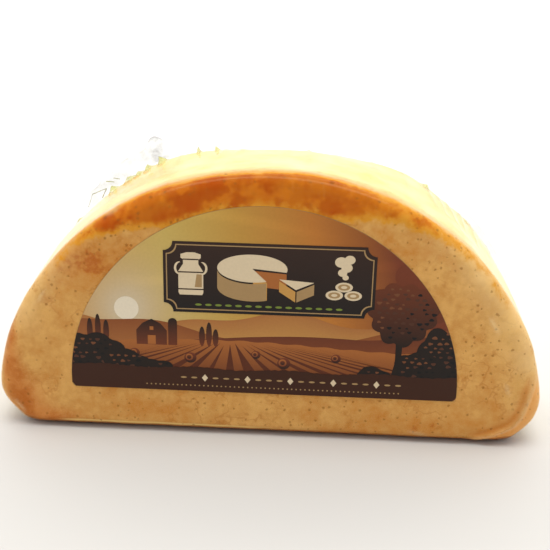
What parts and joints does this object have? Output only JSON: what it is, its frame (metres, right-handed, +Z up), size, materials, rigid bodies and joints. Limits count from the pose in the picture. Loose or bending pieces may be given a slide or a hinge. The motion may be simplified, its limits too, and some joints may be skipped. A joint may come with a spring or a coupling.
{
  "type": "vacuum-packed smoked cheddar",
  "caption": "Half wheel of smoked cheddar with a mottled orange coat, tight in clear vacuum film, with a half-moon label on its face, standing on its flat side.",
  "frame": {"origin": "middle of the whole pack's footprint, at the level of the flat side that it stands on", "axes": "+Z up, +X along the flat side, to the right as seen from the front, +Y from the labelled face to the back"},
  "size_m": [0.244, 0.0676, 0.1203],
  "materials": {
    "cheese_in_film": "mottled cream, tan and orange spice coat under tight clear film, satin to glossy",
    "clear_film": "clear, glossy, crinkled",
    "label_print": "printed dusk landscape in gold, rust, maroon and charcoal, smooth satin"
  },
  "bodies": {
    "root": {"cheese": "cheese_in_film", "back_film": "clear_film", "label": "label_print"}
  },
  "joints": []
}
